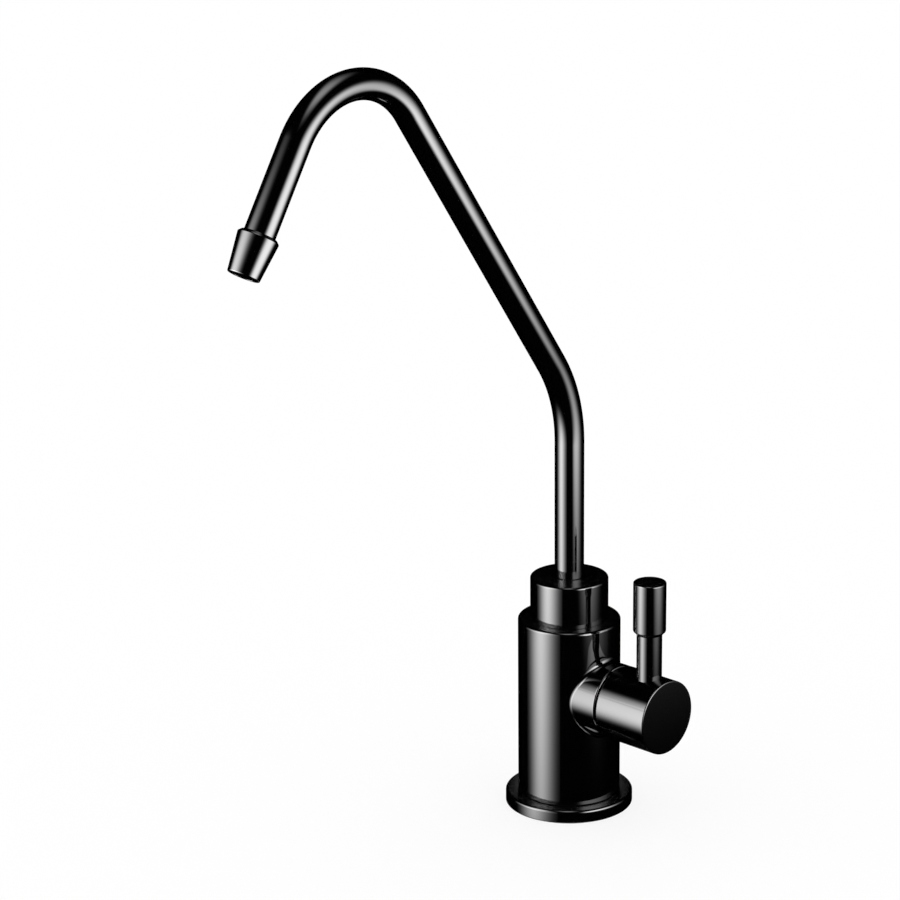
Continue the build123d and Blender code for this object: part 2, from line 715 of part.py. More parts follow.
# Clamp under the worktop, from the top: rubber washer, spacer, star washer, nut
rubber_washer_top = -worktop_thickness
spacer_top = rubber_washer_top - rubber_washer_thickness
star_washer_top = spacer_top - spacer_thickness
nut_top = star_washer_top - star_washer_thickness - film_gap
nut_foot = nut_top - nut_thickness
clamp_hole_radius = shank_diameter / 2 + free_gap
with BuildPart() as rubber_washer:
    with BuildSketch(Plane.XY.offset(spacer_top)):
        Circle(rubber_washer_diameter / 2)
        Circle(clamp_hole_radius, mode=Mode.SUBTRACT)
    extrude(amount=rubber_washer_thickness)
rubber_washer.part.label = "rubber_washer"
export_step(rubber_washer.part, "parts/rubber_washer.step")

with BuildPart() as spacer_ring:
    with BuildSketch(Plane.XY.offset(star_washer_top)):
        Circle(spacer_diameter / 2)
    extrude(amount=spacer_thickness)
    chamfer(spacer_ring.edges().sort_by(Axis.Z)[0], spacer_edge_chamfer)
    with BuildSketch(Plane.XY.offset(star_washer_top)):
        Circle(clamp_hole_radius)
    extrude(amount=spacer_thickness, mode=Mode.SUBTRACT)
spacer_ring.part.label = "spacer_ring"
export_step(spacer_ring.part, "parts/spacer_ring.step")

star_body_radius = star_washer_diameter / 2 - star_tooth_length
with BuildPart() as star_washer:
    with BuildSketch(Plane.XY.offset(star_washer_top - star_washer_thickness)):
        Circle(star_body_radius)
        with PolarLocations(star_body_radius, star_tooth_count):
            Rectangle(2 * star_tooth_length, star_tooth_width)
        Circle(clamp_hole_radius, mode=Mode.SUBTRACT)
    extrude(amount=star_washer_thickness)
star_washer.part.label = "star_washer"
export_step(star_washer.part, "parts/star_washer.step")

nut_corner_radius = nut_flats / sqrt(3)
with BuildPart() as mounting_nut:
    with BuildSketch(Plane.XY.offset(nut_foot)):
        Circle(nut_corner_radius)
    extrude(amount=nut_thickness)
    chamfer(mounting_nut.edges().filter_by(GeomType.CIRCLE), nut_flats * nut_corner_chamfer_share / 2)
    with BuildSketch(Plane.XY.offset(nut_foot)):
        RegularPolygon(nut_flats / 2, 6, major_radius=False)
    extrude(amount=nut_thickness, mode=Mode.INTERSECT)
    with BuildSketch(Plane.XY.offset(nut_foot)):
        Circle(shank_hole_radius)
    extrude(amount=nut_thickness, mode=Mode.SUBTRACT)
mounting_nut.part.label = "mounting_nut"
export_step(mounting_nut.part, "parts/mounting_nut.step")


# Inlet fitting, screwed on the shank's foot: thread, flat seal, passage, tube socket, ring, collet
fitting_top = shank_foot + inlet_thread_length
inlet_seal_foot = shank_foot - inlet_seal_thickness
tube_stop = inlet_seal_foot - inlet_wall_below_seal
tube_socket_foot = tube_stop - inlet_socket_length
inlet_ring_foot = tube_socket_foot - inlet_ring_section - inlet_ring_slack
collet_top = inlet_ring_foot - fitting_barb_clearance - collet_travel
barb_foot = collet_top - collet_barb_length
grip_ring_top = barb_foot - film_gap
fitting_foot = grip_ring_top - grip_ring_length
collet_flange_top = fitting_foot - collet_travel - free_gap
tube_socket_radius = supply_tube_diameter / 2 + supply_tube_gap
cavity_radius = inlet_cavity_diameter / 2
with BuildPart() as inlet_fitting:
    with BuildSketch(Plane.XY.offset(fitting_foot)):
        Circle(inlet_diameter / 2)
    extrude(amount=fitting_top - fitting_foot)
    fillet(inlet_fitting.edges().filter_by(GeomType.CIRCLE), inlet_edge_round)
    with BuildSketch(Plane.XY.offset(fitting_top - inlet_hex_length)):
        RegularPolygon(inlet_hex_flats / 2, 6, major_radius=False)
    extrude(amount=inlet_hex_length)
    with BuildSketch(Plane.XY.offset(inlet_seal_foot)):
        Circle(shank_hole_radius)
    extrude(amount=fitting_top - inlet_seal_foot, mode=Mode.SUBTRACT)
    with BuildSketch(Plane.XY.offset(tube_stop)):
        Circle(inlet_passage_diameter / 2)
    extrude(amount=inlet_wall_below_seal, mode=Mode.SUBTRACT)
    with BuildSketch(Plane.XY.offset(tube_socket_foot)):
        Circle(tube_socket_radius)
    extrude(amount=inlet_socket_length, mode=Mode.SUBTRACT)
    with BuildSketch(Plane.XY.offset(fitting_foot)):
        Circle(cavity_radius)
    extrude(amount=tube_socket_foot - fitting_foot, mode=Mode.SUBTRACT)
inlet_fitting.part.label = "inlet_fitting"
export_step(inlet_fitting.part, "parts/inlet_fitting.step")


# Flat seal under the shank's foot, and the ring that seals on the supply tube
with BuildPart() as inlet_seal:
    with BuildSketch(Plane.XY.offset(inlet_seal_foot)):
        Circle(shank_diameter / 2)
        Circle(shank_bore_diameter / 2, mode=Mode.SUBTRACT)
    extrude(amount=inlet_seal_thickness)
inlet_seal.part.label = "inlet_seal"
export_step(inlet_seal.part, "parts/inlet_seal.step")

tube_ring_radius = tube_socket_radius + fixed_gap + inlet_ring_section / 2
with BuildPart() as tube_oring:
    with Locations((0, 0, tube_socket_foot - (inlet_ring_section + inlet_ring_slack) / 2)):
        Torus(tube_ring_radius, inlet_ring_section / 2)
tube_oring.part.label = "tube_oring"
export_step(tube_oring.part, "parts/tube_oring.step")


# Collet that grips the tube, and the ring in the fitting's mouth that keeps it in
collet_bore_radius = tube_socket_radius + running_gap
collet_radius = collet_bore_radius + collet_wall
with BuildPart() as grip_ring:
    with BuildSketch(Plane.XY.offset(fitting_foot)):
        Circle(cavity_radius - fixed_gap)
        Circle(collet_radius + running_gap, mode=Mode.SUBTRACT)
    extrude(amount=grip_ring_length)
grip_ring.part.label = "grip_ring"
export_step(grip_ring.part, "parts/grip_ring.step")

with BuildPart() as inlet_collet:
    with BuildSketch(Plane.XY.offset(collet_flange_top)):
        Circle(collet_radius)
    extrude(amount=collet_top - collet_flange_top)
    with BuildSketch(Plane.XY.offset(barb_foot)):
        Circle(collet_radius + collet_barb_height)
    extrude(amount=collet_barb_length)
    with BuildSketch(Plane.XY.offset(collet_flange_top - collet_flange_thickness)):
        Circle(collet_flange_diameter / 2)
    extrude(amount=collet_flange_thickness)
    with BuildSketch(Plane.XY.offset(collet_flange_top - collet_flange_thickness)):
        Circle(collet_bore_radius)
    extrude(amount=collet_top - collet_flange_top + collet_flange_thickness, mode=Mode.SUBTRACT)
    with BuildSketch(Plane.XY.offset(collet_top - collet_slit_length)):
        with PolarLocations(collet_radius, collet_slit_count):
            Rectangle(2 * collet_wall + 2 * collet_barb_height, collet_slit_width)
    extrude(amount=collet_slit_length, mode=Mode.SUBTRACT)
inlet_collet.part.label = "inlet_collet"
export_step(inlet_collet.part, "parts/inlet_collet.step")
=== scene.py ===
from math import atan2, ceil, cos, floor, hypot, pi, radians, sin

import bmesh
import bpy
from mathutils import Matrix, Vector


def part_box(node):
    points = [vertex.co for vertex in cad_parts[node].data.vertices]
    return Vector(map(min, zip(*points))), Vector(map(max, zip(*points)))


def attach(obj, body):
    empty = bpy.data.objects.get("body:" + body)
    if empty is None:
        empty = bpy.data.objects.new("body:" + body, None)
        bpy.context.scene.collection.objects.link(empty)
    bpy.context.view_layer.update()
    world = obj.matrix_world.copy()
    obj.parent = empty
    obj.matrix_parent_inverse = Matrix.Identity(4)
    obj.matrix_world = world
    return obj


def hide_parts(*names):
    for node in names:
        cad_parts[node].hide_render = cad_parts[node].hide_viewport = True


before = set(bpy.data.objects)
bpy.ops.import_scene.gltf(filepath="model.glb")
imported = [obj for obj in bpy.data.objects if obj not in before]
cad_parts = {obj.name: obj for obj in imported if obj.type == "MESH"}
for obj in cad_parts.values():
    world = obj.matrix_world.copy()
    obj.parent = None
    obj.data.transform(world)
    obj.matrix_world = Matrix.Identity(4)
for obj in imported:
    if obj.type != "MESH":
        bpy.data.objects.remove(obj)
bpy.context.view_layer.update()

# A drinking water filter tap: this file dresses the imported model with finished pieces, finishes, a
# pale studio and a camera. Everything is in metres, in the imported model's own place.
bl_info = {
    "name": "Drinking Water Filter Tap",
    "version": (1, 0, 0),
    "blender": (4, 5, 0),
    "location": "3D Viewport > Sidebar > Filter Tap",
    "description": "Dresses the packed model of a filter tap with finished pieces and materials",
    "category": "Add Mesh",
}

MM = 0.001
UP = Vector((0, 0, 1))
ACROSS = Vector((1, 0, 0))
ORIGIN = Vector((0, 0, 0))
BLACK = (0, 0, 0, 1)
WHITE = (1, 1, 1, 1)
SIDES = 128  # facets round a part whose outline shows
SMALL_SIDES = 96  # facets round a smaller part
BORE_SIDES = 64  # facets round a bore
THREAD_SIDES = 40  # facets round a thread
CREST = 1 / 8  # width of a thread's crest, as a share of its pitch
MERGE = 0.001 * MM  # corners nearer than this are one corner
NEAR = 5 * MERGE  # how far a corner may be from the place where it is looked for
FINISH = {}  # the finishes by the record's slot, made by the first step


def linear(code):
    """An sRGB hex value as a linear colour with alpha, by the sRGB standard's own curve."""
    shares = [int(code[start : start + 2], 16) / 255 for start in (0, 2, 4)]
    toned = [s / 12.92 if s <= 0.04045 else ((s + 0.055) / 1.055) ** 2.4 for s in shares]
    return (*toned, 1.0)


def length(title, text, millimetres):
    """A size that a user can change."""
    return bpy.props.FloatProperty(
        name=title,
        description=text,
        default=millimetres * MM,
        min=0,
        unit="LENGTH",
        subtype="DISTANCE",
    )


def turn(title, text, degrees):
    """An angle that a user can change."""
    return bpy.props.FloatProperty(
        name=title, description=text, default=radians(degrees), unit="ROTATION", subtype="ANGLE"
    )


def colour(title, text, code):
    """A colour that a user can change."""
    return bpy.props.FloatVectorProperty(
        name=title, description=text, default=linear(code), size=4, min=0, max=1, subtype="COLOR"
    )


def brightness(title, text, strength):
    """A brightness that a user can change."""
    return bpy.props.FloatProperty(name=title, description=text, default=strength, min=0)


class TapSizes(bpy.types.PropertyGroup):
    """Sizes of the dressed pieces."""

    tube_wall: length("Tube wall", "Wall of the spout tube", 1.0)
    lower_bend_radius: length("Lower bend", "Centre line radius of the spout's lower bend", 51.7)
    lower_bend_angle: turn("Lower bend angle", "How far the lower bend turns", 34.45)
    slope_length: length("Slope", "Straight length between the two bends", 114.4)
    upper_bend_radius: length("Upper bend", "Centre line radius of the spout's upper bend", 28.8)
    upper_bend_angle: turn("Upper bend angle", "How far the upper bend turns", 114.4)
    fall_length: length("Fall", "Straight length from the upper bend to the nozzle", 29.8)
    riser_length: length("Riser", "Straight length above the collar", 47.6)
    nozzle_round: length("Nozzle edge", "Rounding of the nozzle's mouth", 0.4)
    shoulder_chamfer: length("Nozzle shoulder", "Slope at the top of the nozzle", 1.0)
    collar_round: length("Collar edge", "Rounding of the collar's top edge", 0.8)
    plate_round: length("Base plate edge", "Rounding of the base plate's top edge", 0.9)
    grip_chamfer: length("Grip foot", "Slope at the foot of the grip", 1.2)
    grip_round: length("Grip edge", "Rounding of the grip's top edge", 0.5)
    thread_pitch: length("Thread pitch", "Pitch of the shank, 24 turns to the inch", 1.0583)
    thread_depth: length("Thread depth", "Depth of the shank's thread", 0.62)


class TapFinishes(bpy.types.PropertyGroup):
    """Colours of the finishes."""

    lacquer: colour("Lacquer", "Gloss black lacquer of the tap", "020202")
    brass: colour("Brass", "Bare turned brass", "8C7A52")
    tarnish: colour("Tarnish", "Browner patches on the brass", "6A5B3E")
    stainless: colour("Stainless steel", "Stamped stainless steel", "C9C7C3")
    rubber: colour("Rubber", "Black rubber seals and washers", "1B1B1C")
    bloom: colour("Bloom", "Grey wax bloom on the rubber", "343436")
    acetal: colour("Black plastic", "Black moulded acetal", "1A1A1B")
    fitting: colour("White plastic", "White moulded plastic of the inlet fitting", "D2D1CA")
    silicone: colour("Silicone", "Seal of the valve cartridge", "B9B4AC")
    ceramic: colour("Ceramic", "Lapped ceramic valve discs", "EFE9DC")
    pores: colour("Pores", "Darker pores in the ceramic", "D8CFBD")
    floor: colour("Floor", "Pale studio floor", "FEFEFE")


class TapStudio(bpy.types.PropertyGroup):
    """Light and camera."""

    fill: brightness("Fill light", "Brightness of the even light all round", 1.0)
    left_box: brightness("Left soft box", "Brightness of its middle", 18.5)
    upper_box: brightness("Upper soft box", "Brightness of its middle", 19.7)
    right_box: brightness("Right soft box", "Brightness of its middle", 19.2)
    top_box: brightness("Top soft box", "Brightness of the small soft box overhead", 5.1)
    low_box: brightness("Low soft box", "Brightness of the small soft box under the lever", 16.0)
    back_strip: brightness("Back strip", "Brightness of the strip hidden behind the tap", 4.0)
    focal_length: bpy.props.FloatProperty(
        name="Focal length", description="The camera's focal length", default=137.85, unit="CAMERA"
    )


# Working in edit mode


def clear_selection():
    """Leaves edit mode with nothing selected."""
    if bpy.context.object and bpy.context.object.mode != "OBJECT":
        bpy.ops.object.mode_set(mode="OBJECT")
    bpy.ops.object.select_all(action="DESELECT")


def pick(piece):
    """Leaves edit mode with only this piece selected and active."""
    clear_selection()
    piece.select_set(True)
    bpy.context.view_layer.objects.active = piece


def settle(name):
    """Moves a new primitive's place and turn into its mesh, names it and opens it all selected."""
    piece = bpy.context.object
    piece.name = piece.data.name = name
    bpy.ops.object.transform_apply(location=True, rotation=True, scale=True)
    bpy.ops.object.mode_set(mode="EDIT")
    bpy.ops.mesh.select_all(action="SELECT")
    return piece


def add_ring(name, radius, centre, along, sides):
    """Adds a circle square to an axis and opens it with its edge selected."""
    clear_selection()
    bpy.ops.mesh.primitive_circle_add(
        vertices=sides,
        radius=radius,
        location=centre,
        rotation=along.to_track_quat("Z", "Y").to_euler(),
    )
    return settle(name)


def extrude(step=ORIGIN):
    """Extrudes what is selected by a step."""
    bpy.ops.mesh.extrude_region_move(TRANSFORM_OT_translate={"value": step})


def close_up(fill=True):
    """Merges corners that coincide, fills open ends and turns every face outwards."""
    bpy.ops.mesh.select_all(action="SELECT")
    bpy.ops.mesh.remove_doubles(threshold=MERGE)
    if fill:
        bpy.ops.mesh.fill_holes(sides=0)
    bpy.ops.mesh.normals_make_consistent(inside=False)
    bpy.ops.mesh.select_all(action="DESELECT")


def turned(name, rings, start=ORIGIN, along=UP, sides=SIDES):
    """Turns a piece from rings of (radius, reach along the axis), each extruded from the last."""
    radius, reach = rings[0]
    piece = add_ring(name, radius, start + along * reach, along, sides)
    for next_radius, next_reach in rings[1:]:
        extrude(along * (next_reach - reach))
        if next_radius != radius:
            bpy.ops.transform.resize(
                value=(next_radius / radius,) * 3, center_override=start + along * next_reach
            )
        radius, reach = next_radius, next_reach
    close_up()
    return piece


def select(piece, kind, wanted):
    """Selects only the wanted corners, edges or faces, by the kind VERT, EDGE or FACE."""
    bpy.ops.mesh.select_all(action="DESELECT")
    bpy.ops.mesh.select_mode(type=kind)
    mesh = bmesh.from_edit_mesh(piece.data)
    for part in {"VERT": mesh.verts, "EDGE": mesh.edges, "FACE": mesh.faces}[kind]:
        part.select_set(wanted(part))
    mesh.select_flush_mode()
    bmesh.update_edit_mesh(piece.data)


def round_rims(piece, places, width, steps, start=ORIGIN, along=UP):
    """Rounds, or with one step slopes, the rims at the places, each (radius, reach)."""

    def is_at(corner, place):
        """Whether a corner has a place's radius and reach along the axis."""
        reach = (corner.co - start).dot(along)
        radius = (corner.co - start - along * reach).length
        return abs(radius - place[0]) < NEAR and abs(reach - place[1]) < NEAR

    def is_rim(edge):
        """Whether both ends of an edge are at the same one of the places."""
        return any(all(is_at(corner, place) for corner in edge.verts) for place in places)

    select(piece, "EDGE", is_rim)
    bpy.ops.mesh.bevel(
        offset=width, offset_type="OFFSET", segments=steps, affect="EDGES", clamp_overlap=True
    )
    bpy.ops.mesh.select_all(action="DESELECT")


def apply(piece, kind, **settings):
    """Adds a modifier with its settings and applies it."""
    pick(piece)
    modifier = piece.modifiers.new(kind.title(), kind)
    for name, value in settings.items():
        setattr(modifier, name, value)
    bpy.ops.object.modifier_apply(modifier=modifier.name)


def combine(piece, tool, operation):
    """Cuts a piece with another, keeps what they share, or joins them, and removes the other."""
    apply(piece, "BOOLEAN", object=tool, operation=operation, solver="EXACT")
    bpy.data.objects.remove(tool)


def hexagon(name, corner, low, high):
    """Raises a six-sided bar with corners on the X axis."""
    bar = add_ring(name, corner, UP * low, UP, 6)
    bpy.ops.transform.rotate(value=pi / 2, orient_axis="Z", center_override=UP * low)
    bpy.ops.mesh.edge_face_add()
    extrude(UP * (high - low))
    close_up()
    return bar


def thread(name, radius, sizes, low, high):
    """Winds a right-hand thread about the Z axis, past low and high, with closed ends."""
    pitch, depth = sizes.thread_pitch, sizes.thread_depth
    first = (floor(low / pitch) - 1) * pitch
    turns = ceil((high - first) / pitch) + 2  # it runs on past high by at least one turn
    last = first + turns * pitch
    half = (first + last) / 2
    # The outline of one turn, out to the crest and back, is a plane's edges but for the inner one
    middle = Vector((radius - depth / 2, 0, first))
    clear_selection()
    bpy.ops.mesh.primitive_plane_add(size=pitch, location=middle, rotation=(pi / 2, 0, 0))
    rod = settle(name)
    bpy.ops.mesh.delete(type="ONLY_FACE")
    select(rod, "VERT", lambda corner: corner.co.x < middle.x)
    bpy.ops.mesh.delete(type="EDGE")
    bpy.ops.mesh.select_all(action="SELECT")
    bpy.ops.transform.resize(value=(depth / pitch, 1, 1), center_override=middle)
    select(rod, "VERT", lambda corner: corner.co.x > middle.x)
    bpy.ops.transform.resize(value=(1, 1, CREST), center_override=middle)
    apply(
        rod,
        "SCREW",
        axis="Z",
        angle=2 * pi,
        screw_offset=pitch,
        iterations=turns,
        steps=THREAD_SIDES,
        render_steps=THREAD_SIDES,
        use_merge_vertices=True,
        merge_threshold=MERGE,
    )
    bpy.ops.object.mode_set(mode="EDIT")
    bpy.ops.mesh.select_all(action="SELECT")
    bpy.ops.mesh.remove_doubles(threshold=MERGE)
    for height, lower in ((first, True), (last, False)):
        select(
            rod,
            "EDGE",
            lambda edge: edge.is_boundary
            and ((edge.verts[0].co.z + edge.verts[1].co.z) / 2 < half) == lower,
        )
        extrude()
        bpy.ops.transform.resize(value=(0, 0, 0), center_override=UP * height)
    close_up()
    return rod


def dress(piece, body, slot, *nodes, sharp=32):
    """Smooths a finished piece, gives it its finish, ties it to its body and hides the CAD nodes it
    stands in for.

    Edges that turn by more than sharp, in degrees, stay sharp.
    """
    pick(piece)
    bpy.ops.object.shade_smooth_by_angle(angle=radians(sharp))
    apply(piece, "WEIGHTED_NORMAL", keep_sharp=True, weight=100)
    piece.data.materials.clear()
    piece.data.materials.append(FINISH[slot])
    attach(piece, body)
    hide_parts(*nodes)


# Materials


def add(tree, kind, inputs=None, **settings):
    """Adds a shader node with its settings, and its inputs as values or links."""
    node = tree.nodes.new("ShaderNode" + kind)
    for name, value in settings.items():
        setattr(node, name, value)
    for socket, value in (inputs or {}).items():
        if isinstance(value, bpy.types.NodeSocket):
            tree.links.new(value, node.inputs[socket])
        else:
            node.inputs[socket].default_value = value
    return node


def start_material(name):
    """A new material with an empty node tree."""
    material = bpy.data.materials.new(name)
    material.use_nodes = True
    material.node_tree.nodes.clear()
    return material, material.node_tree


def make_lacquer(finishes):
    """Gloss black lacquer, sprayed and baked on polished brass."""
    # The coat is all but black, so the eye gets its shape from sharp reflections alone. A sprayed
    # coat levels into faint orange peel, here waves about 2 mm wide and under a micrometre high.
    # Dry spray settles on the tops that lie flat, those of the base plate, body, collar and grip,
    # and leaves them rougher and speckled, with grains drawn 0.3 mm wide so that they show.
    material, tree = start_material("gloss_black_lacquer")
    place = add(tree, "TexCoord").outputs["Object"]
    peel = add(tree, "TexNoise", {"Vector": place, "Scale": 1 / (2.0 * MM), "Detail": 1.0})
    film = add(tree, "TexNoise", {"Vector": place, "Scale": 1 / (11 * MM), "Detail": 2.0})
    grains = add(tree, "TexNoise", {"Vector": place, "Scale": 1 / (0.3 * MM), "Detail": 2.0})
    height = add(tree, "SeparateXYZ", {0: place}).outputs["Z"]
    flat = 0.0
    for node in ("base_flange", "valve_body", "spout_collar", "lever_grip"):
        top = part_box(node)[1].z
        near = add(tree, "Math", {0: height, 1: top, 2: 0.03 * MM}, operation="COMPARE")
        flat = add(tree, "Math", {0: near.outputs[0], 1: flat}, operation="ADD").outputs[0]
    gloss = add(tree, "MapRange", {"Value": film.outputs["Fac"], "To Min": 0.04, "To Max": 0.06})
    dusty = 0.2  # how much rougher the flat tops are
    rough = add(
        tree, "Math", {0: flat, 1: dusty, 2: gloss.outputs["Result"]}, operation="MULTIPLY_ADD"
    )
    waves = add(tree, "Bump", {"Height": peel.outputs["Fac"], "Distance": 0.0008 * MM})
    speckle = add(
        tree,
        "Bump",
        {
            "Height": grains.outputs["Fac"],
            "Strength": flat,
            "Distance": 0.003 * MM,
            "Normal": waves.outputs["Normal"],
        },
    )
    shader = add(
        tree,
        "BsdfPrincipled",
        {
            "Base Color": finishes.lacquer,
            "Roughness": rough.outputs[0],
            "IOR": 1.5,
            "Normal": speckle.outputs["Normal"],
        },
    )
    add(tree, "OutputMaterial", {"Surface": shader.outputs[0]})
    return material


def make_brass(finishes):
    """Free-cutting brass, turned on a lathe and left bare."""
    # The tool leaves fine rings about 0.12 mm apart, which stretch the highlights along the part.
    # Handling and damp tarnish it in soft browner patches about a centimetre wide.
    material, tree = start_material("turned_bare_brass")
    place = add(tree, "TexCoord").outputs["Object"]
    wave_gap = pi / 10  # gap between a wave texture's bands at a scale of 1
    rings = add(
        tree,
        "TexWave",
        {"Vector": place, "Scale": wave_gap / (0.12 * MM), "Distortion": 0.6, "Detail": 2.0},
        bands_direction="Z",
    )
    patches = add(tree, "TexNoise", {"Vector": place, "Scale": 1 / (9 * MM), "Detail": 4.0})
    dull = add(
        tree,
        "MapRange",
        {
            "Value": patches.outputs["Fac"],
            "From Min": 0.42,
            "From Max": 0.72,
            "To Min": 0.0,
            "To Max": 0.6,
        },
    ).outputs["Result"]
    tint = add(
        tree, "Mix", {0: dull, 6: finishes.brass, 7: finishes.tarnish}, data_type="RGBA"
    )
    gloss = add(tree, "MapRange", {"Value": rings.outputs["Fac"], "To Min": 0.4, "To Max": 0.52})
    stale = 0.2  # how much rougher full tarnish would be
    rough = add(
        tree, "Math", {0: dull, 1: stale, 2: gloss.outputs["Result"]}, operation="MULTIPLY_ADD"
    )
    marks = add(
        tree, "Bump", {"Height": rings.outputs["Fac"], "Strength": 0.5, "Distance": 0.003 * MM}
    )
    shader = add(
        tree,
        "BsdfPrincipled",
        {
            "Base Color": tint.outputs[2],
            "Metallic": 1.0,
            "Roughness": rough.outputs[0],
            "Normal": marks.outputs["Normal"],
        },
    )
    add(tree, "OutputMaterial", {"Surface": shader.outputs[0]})
    return material


def make_stainless(finishes):
    """Austenitic stainless steel, cold rolled, stamped and tumbled."""
    # The rolls leave long fine lines along the sheet, drawn about 0.05 mm wide so that they show,
    # and a few millimetres long. Tumbling dents them, so the eye sees a grey sheen with a grain.
    material, tree = start_material("tumbled_stainless_steel")
    place = add(tree, "TexCoord").outputs["Object"]
    drawn = add(tree, "Mapping", {"Vector": place, "Scale": (1 / 60, 1, 1)}).outputs[0]
    lines = add(tree, "TexNoise", {"Vector": drawn, "Scale": 1 / (0.05 * MM), "Detail": 2.0})
    dents = add(tree, "TexNoise", {"Vector": place, "Scale": 1 / (0.4 * MM), "Detail": 2.0})
    both = add(
        tree, "Math", {0: lines.outputs["Fac"], 1: dents.outputs["Fac"]}, operation="ADD"
    ).outputs[0]
    rough = add(
        tree,
        "MapRange",
        {"Value": both, "From Min": 0.6, "From Max": 1.4, "To Min": 0.24, "To Max": 0.4},
    )
    grain = add(tree, "Bump", {"Height": both, "Strength": 0.4, "Distance": 0.004 * MM})
    shader = add(
        tree,
        "BsdfPrincipled",
        {
            "Base Color": finishes.stainless,
            "Metallic": 1.0,
            "Roughness": rough.outputs["Result"],
            "Normal": grain.outputs["Normal"],
        },
    )
    add(tree, "OutputMaterial", {"Surface": shader.outputs[0]})
    return material


def make_rubber(finishes):
    """Black synthetic rubber, filled with carbon and pressure moulded."""
    # The mould's spark-eroded wall prints a grain, drawn 0.15 mm wide so that it shows, and wax
    # that rises to the surface greys it in cloudy patches about 5 mm wide.
    material, tree = start_material("moulded_black_rubber")
    place = add(tree, "TexCoord").outputs["Object"]
    grain = add(
        tree, "TexNoise", {"Vector": place, "Scale": 1 / (0.15 * MM), "Detail": 2.0}
    ).outputs["Fac"]
    wax = add(
        tree,
        "TexNoise",
        {"Vector": place, "Scale": 1 / (5 * MM), "Detail": 3.0, "Roughness": 0.6},
    )
    cloud = add(
        tree,
        "MapRange",
        {"Value": wax.outputs["Fac"], "From Min": 0.45, "From Max": 0.75, "To Max": 0.5},
    )
    tint = add(
        tree,
        "Mix",
        {0: cloud.outputs["Result"], 6: finishes.rubber, 7: finishes.bloom},
        data_type="RGBA",
    )
    rough = add(tree, "MapRange", {"Value": grain, "To Min": 0.55, "To Max": 0.8})
    skin = add(tree, "Bump", {"Height": grain, "Strength": 0.6, "Distance": 0.012 * MM})
    shader = add(
        tree,
        "BsdfPrincipled",
        {
            "Base Color": tint.outputs[2],
            "Roughness": rough.outputs["Result"],
            "IOR": 1.52,
            "Normal": skin.outputs["Normal"],
        },
    )
    add(tree, "OutputMaterial", {"Surface": shader.outputs[0]})
    return material


def make_moulded(name, tint, ior, rough, clear, depth):
    """A moulded plastic or silicone whose light sinks in by a share and to a depth."""
    # A moulding copies its polished steel mould, with a faint ripple about 3 mm wide where it sank
    # as it cooled, and a dull grain, drawn 0.1 mm wide so that it shows. Pale ones let some light
    # in under the skin.
    material, tree = start_material(name)
    place = add(tree, "TexCoord").outputs["Object"]
    sink = add(tree, "TexNoise", {"Vector": place, "Scale": 1 / (3 * MM), "Detail": 1.0})
    grain = add(
        tree, "TexNoise", {"Vector": place, "Scale": 1 / (0.1 * MM), "Detail": 2.0}
    ).outputs["Fac"]
    spread = 0.06  # how far the grain takes the roughness up and down
    dull = add(
        tree, "MapRange", {"Value": grain, "To Min": rough - spread, "To Max": rough + spread}
    )
    ripple = add(
        tree, "Bump", {"Height": sink.outputs["Fac"], "Strength": 0.5, "Distance": 0.01 * MM}
    )
    skin = add(
        tree,
        "Bump",
        {
            "Height": grain,
            "Strength": 0.4,
            "Distance": 0.002 * MM,
            "Normal": ripple.outputs["Normal"],
        },
    )
    shader = add(
        tree,
        "BsdfPrincipled",
        {
            "Base Color": tint,
            "Roughness": dull.outputs["Result"],
            "IOR": ior,
            "Subsurface Weight": clear,
            "Subsurface Radius": (1.0, 0.8, 0.6),
            "Subsurface Scale": depth * MM,
            "Normal": skin.outputs["Normal"],
        },
    )
    add(tree, "OutputMaterial", {"Surface": shader.outputs[0]})
    return material


def make_ceramic(finishes):
    """Alumina ceramic, sintered, ground flat and lapped."""
    # Lapping leaves a close satin shine. Grains and pores speckle it faintly. They are too fine to
    # show, so they are drawn about 0.06 mm wide.
    material, tree = start_material("lapped_alumina_ceramic")
    place = add(tree, "TexCoord").outputs["Object"]
    cells = add(
        tree, "TexVoronoi", {"Vector": place, "Scale": 1 / (0.06 * MM)}
    ).outputs["Distance"]
    tint = add(tree, "Mix", {0: cells, 6: finishes.ceramic, 7: finishes.pores}, data_type="RGBA")
    rough = add(tree, "MapRange", {"Value": cells, "To Min": 0.14, "To Max": 0.26})
    shader = add(
        tree,
        "BsdfPrincipled",
        {"Base Color": tint.outputs[2], "Roughness": rough.outputs["Result"], "IOR": 1.76},
    )
    add(tree, "OutputMaterial", {"Surface": shader.outputs[0]})
    return material


def make_finishes(finishes):
    """Every finish by the record's slot that it belongs to."""
    return {
        "black_finish": make_lacquer(finishes),
        "brass": make_brass(finishes),
        "stainless_steel": make_stainless(finishes),
        "ceramic": make_ceramic(finishes),
        "rubber": make_rubber(finishes),
        # acetal, injection moulded with black pigment: waxy, dense and quite dull
        "acetal": make_moulded(
            "moulded_black_acetal", finishes.acetal, ior=1.48, rough=0.38, clear=0.0, depth=0.1
        ),
        # acetal, injection moulded white: milky, so that edges and thin walls look soft
        "fitting_plastic": make_moulded(
            "moulded_white_acetal", finishes.fitting, ior=1.48, rough=0.36, clear=0.3, depth=0.6
        ),
        # silicone, compression moulded: soft, cloudy and slightly see-through
        "silicone": make_moulded(
            "moulded_silicone", finishes.silicone, ior=1.41, rough=0.48, clear=0.6, depth=1.2
        ),
    }


# Operators, one for each group of pieces and one for the studio


